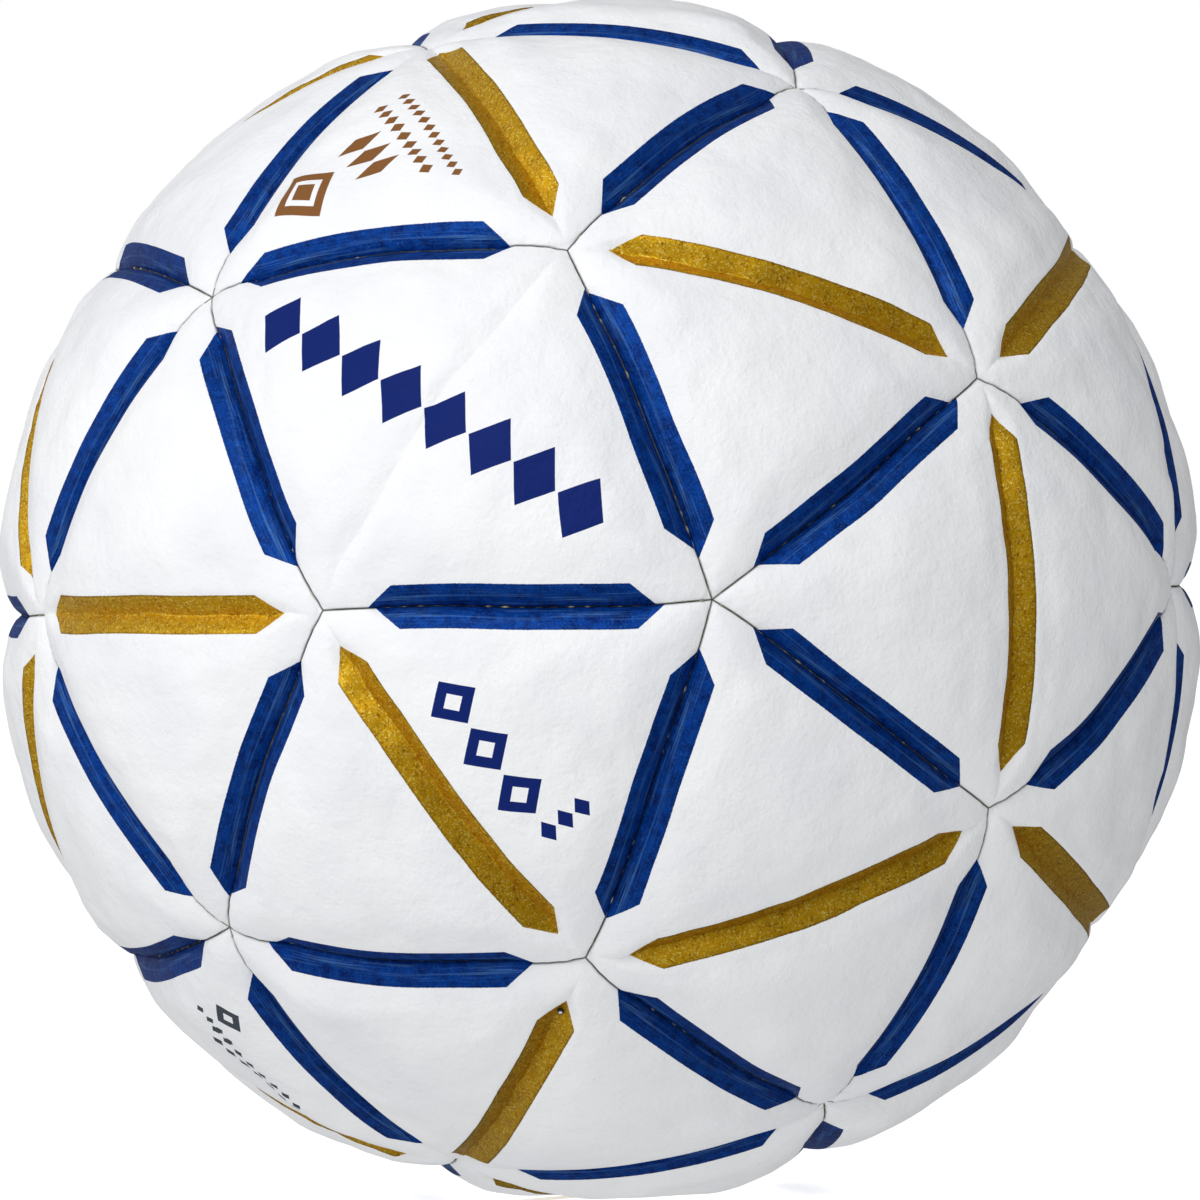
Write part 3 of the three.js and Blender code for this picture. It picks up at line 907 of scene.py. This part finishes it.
def thread_material():
    """Waxed cream thread, soiled in places."""
    material, tree, shader = new_material("waxed_thread")
    n = Nodes(tree)
    tone = n.mix(n.noise(0.6, 3), THREAD_CREAM, THREAD_DIRTY)
    tree.links.new(tone, shader.inputs["Base Color"])
    tree.links.new(n.bump(n.noise(0.12, 2), 0.03), shader.inputs["Normal"])
    shader.inputs["Roughness"].default_value = 0.6
    return material


def rubber_material(name, dark, light, roughness):
    """Moulded rubber with a faint bloom."""
    material, tree, shader = new_material(name)
    n = Nodes(tree)
    tree.links.new(n.mix(n.noise(3, 4), dark, light), shader.inputs["Base Color"])
    tree.links.new(n.bump(n.noise(0.5, 3), 0.04), shader.inputs["Normal"])
    shader.inputs["Roughness"].default_value = roughness
    return material


# ---- Camera, lights and floor ----

def direction_of(turn, lift):
    """Unit vector towards an azimuth (0 is -Y, -90 is -X) and an elevation, in degrees."""
    a, e = math.radians(turn), math.radians(lift)
    return Vector((math.sin(a) * math.cos(e), -math.cos(a) * math.cos(e), math.sin(e)))


def make_camera():
    data = bpy.data.cameras.new("camera")
    camera = bpy.data.objects.new("camera", data)
    bpy.context.scene.collection.objects.link(camera)
    back = direction_of(CAMERA_TURN, CAMERA_LIFT)
    facing = (-back).to_track_quat("-Z", "Y").to_matrix()
    roll = Matrix.Rotation(math.radians(CAMERA_ROLL), 3, "Z")
    camera.matrix_world = Matrix.Translation(back * CAMERA_DISTANCE) @ (facing @ roll).to_4x4()
    half_view = math.asin(CROWN * MM / CAMERA_DISTANCE)
    data.lens = data.sensor_width / 2 / math.tan(half_view)
    data.clip_start, data.clip_end = 0.05, 100
    bpy.context.scene.camera = camera


def area_light(name, turn, lift, distance, size, watts):
    data = bpy.data.lights.new(name, "AREA")
    data.shape, data.size, data.energy = "DISK", size, watts
    lamp = bpy.data.objects.new(name, data)
    lamp.location = direction_of(turn, lift) * distance
    lamp.rotation_mode = "QUATERNION"
    lamp.rotation_quaternion = (-lamp.location).to_track_quat("-Z", "Y")
    bpy.context.scene.collection.objects.link(lamp)


def make_world():
    """Pale studio surroundings: white as seen, dimmer as light, and dark in reflections."""
    world = bpy.data.worlds.new("studio")
    world.use_nodes = True
    bpy.context.scene.world = world
    tree = world.node_tree
    background = next(node for node in tree.nodes if node.type == "BACKGROUND")
    n = Nodes(tree)
    path = tree.nodes.new("ShaderNodeLightPath")
    way = tree.nodes.new("ShaderNodeTexCoord").outputs["Generated"]
    upward = tree.nodes.new("ShaderNodeSeparateXYZ")
    tree.links.new(way, upward.inputs[0])
    sideways = tree.nodes.new("ShaderNodeVectorMath")
    sideways.operation = "DOT_PRODUCT"
    tree.links.new(way, sideways.inputs[0])
    sideways.inputs[1].default_value = direction_of(CAMERA_TURN - 70, 10)
    side = sideways.outputs["Value"]
    light = n.math(
        "ADD",
        n.ramp(side, -0.8, 0.8, DIM_SIDE, BRIGHT_SIDE),
        n.ramp(upward.outputs["Z"], -0.1, -0.9, 0, BOUNCE),
    )
    reflection = n.ramp(side, -0.2, 0.9, DIM_REFLECTION, BRIGHT_REFLECTION)
    more = n.math("MULTIPLY", path.outputs["Is Glossy Ray"], n.math("SUBTRACT", reflection, light))
    strength = n.math("MAXIMUM", path.outputs["Is Camera Ray"], n.math("ADD", light, more))
    tree.links.new(strength, background.inputs["Strength"])
    background.inputs["Color"].default_value = (1, 1, 1, 1)


def make_floor():
    size = 12
    corners = [(-size, -size), (size, -size), (size, size), (-size, size)]
    points = np.array([(x, y, FLOOR_Z) for x, y in corners]) / MM
    floor = new_mesh_object("floor", points, [(0, 1, 2, 3)], smooth=False)
    material, _, shader = new_material("pale_floor")
    shader.inputs["Base Color"].default_value = (0.93, 0.93, 0.93, 1)
    shader.inputs["Roughness"].default_value = 0.8
    shader.inputs["Emission Color"].default_value = (1, 1, 1, 1)
    shader.inputs["Emission Strength"].default_value = 0.62
    floor.data.materials.append(material)
    floor.visible_diffuse = False
    floor.visible_glossy = False


# ---- Putting it together ----

# Generic marks in the places where the real ball is printed. Each has its panel's middle and its
# rows: centre (along, across), turn, pitch, count, half width, half height and the hole's share.
PRINTS = {
    "wide_mark": (
        (-1 - GOLDEN, -GOLDEN, 1),
        ((rhombi((0, -1), 90, 7.4, 8, 3.5, 4.6), NAVY),),
    ),
    "side_mark": (
        (-1 - GOLDEN, -GOLDEN, -1),
        (
            (rhombi((-2.5, -9.8), 0, 7.3, 3, 3.3, 3.8, 0.42), NAVY),
            (rhombi((11, -12.5), 90, 2.9, 3, 1.25, 1.6), NAVY),
        ),
    ),
    "round_mark": (
        (-GOLDEN, -1, 1 + GOLDEN),
        (
            (rhombi((0, 27.5), 0, 12, 1, 5.6, 5.0, 0.62), BROWN),
            (rhombi((0, 27.5), 0, 12, 1, 2.2, 1.9), BROWN),
            (rhombi((0.5, 17.5), 0, 3.4, 3, 1.4, 3.4), BROWN),
            (rhombi((0.5, 12.2), 0, 2.2, 9, 0.9, 1.1), BROWN),
            (rhombi((2, 8.8), 0, 1.9, 12, 0.75, 0.9), BROWN),
        ),
    ),
    "small_mark": (
        (-GOLDEN, 1, -1 - GOLDEN),
        (
            (rhombi((-0.9, 28.5), 40, 8, 1, 2.6, 3.2, 0.4), PRINT_GREY),
            (rhombi((2, 24), 40, 2.0, 4, 0.7, 0.9), PRINT_GREY),
            (rhombi((-4, 18), 40, 2.2, 8, 0.8, 1.1), PRINT_GREY),
            (rhombi((-5, 13), 40, 2.4, 9, 1.0, 1.3), PRINT_GREY),
        ),
    ),
}


def needle_hole():
    """The valve's opening, in its panel's groove: a dark rubber lip round a pale seal."""
    other = VALVE_PANEL["a"] if VALVE_CORNER is VALVE_PANEL["b"] else VALVE_PANEL["b"]
    ahead = unit(other - (other @ VALVE_CORNER) * VALVE_CORNER)
    angle = VALVE_FROM_CORNER / CROWN
    way = (math.cos(angle) * VALVE_CORNER + math.sin(angle) * ahead)[None]
    spot = skin_points(VALVE_PANEL, way, settled_lift(VALVE_PANEL, way))[0][0]
    up = unit(spot)
    side = unit(np.cross(up, (0, 0, 1)))
    third = np.cross(up, side)

    points, faces, sides = [], [], 20
    turns = 2 * math.pi * np.arange(sides) / sides
    circle = np.cos(turns)[:, None] * side + np.sin(turns)[:, None] * third
    for radius, height in NEEDLE_PROFILE:
        points += list(spot + radius * circle + height * up)
    for start in range(0, len(points) - sides, sides):
        first = list(range(start, start + sides))
        faces += ring_faces(first, [v + sides for v in first])
    faces.append(tuple(range(sides))[::-1])
    faces.append(tuple(range(len(points) - sides, len(points))))

    piece = new_mesh_object("needle_hole", points, faces)
    lip = rubber_material("hole_rubber", srgb(10, 10, 11), srgb(26, 26, 28), 0.6)
    seal = rubber_material("seal_rubber", srgb(196, 194, 208), srgb(222, 220, 230), 0.4)
    piece.data.materials.append(lip)
    piece.data.materials.append(seal)
    for face in piece.data.polygons:
        if max(face.vertices) < 2 * sides:
            face.material_index = 1
    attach(piece, "root")


def finish_piece(piece, node, material):
    piece.data.materials.append(material)
    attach(piece, "root")
    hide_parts(node)


def build_cover():
    settle_panels()
    striped = cover_material("striped_cover")
    plain = cover_material("plain_cover", plain=True)
    for name, (middle, marks) in PRINTS.items():
        panel = panel_at(np.array(middle))
        panel["printed"] = cover_material(name, panel["plain"], marks)
    for number, panel in enumerate(PANELS):
        piece = panel_piece(panel, 100 + number)
        usual = plain if panel["plain"] else striped
        finish_piece(piece, panel["node"], panel.get("printed", usual))


def build_thread():
    material = thread_material()
    nodes = [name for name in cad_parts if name.startswith("seam_thread")]
    for number, five in enumerate(FIVES):
        node = max(nodes, key=lambda name: node_box_middle(name) @ five)
        piece = thread_piece(five, node, 500 + 10 * number)
        finish_piece(piece, node, material)


def dress_inner_nodes():
    looks = {
        "bladder": rubber_material("bladder_rubber", srgb(24, 24, 26), srgb(48, 48, 50), 0.6),
        "valve_body": rubber_material("valve_rubber", srgb(34, 34, 36), srgb(58, 58, 60), 0.5),
        "valve_core": rubber_material("core_rubber", srgb(120, 112, 98), srgb(150, 142, 124), 0.55),
        "balance_patch": rubber_material("patch_rubber", srgb(40, 42, 44), srgb(66, 68, 70), 0.7),
    }
    for name, material in looks.items():
        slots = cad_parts[name].data.materials
        slots.clear()
        slots.append(material)


bpy.context.scene.view_settings.view_transform = "Standard"
make_camera()
make_world()
make_floor()
area_light("key_light", *KEY_LIGHT)
area_light("side_light", *SIDE_LIGHT)
build_cover()
build_thread()
needle_hole()
dress_inner_nodes()
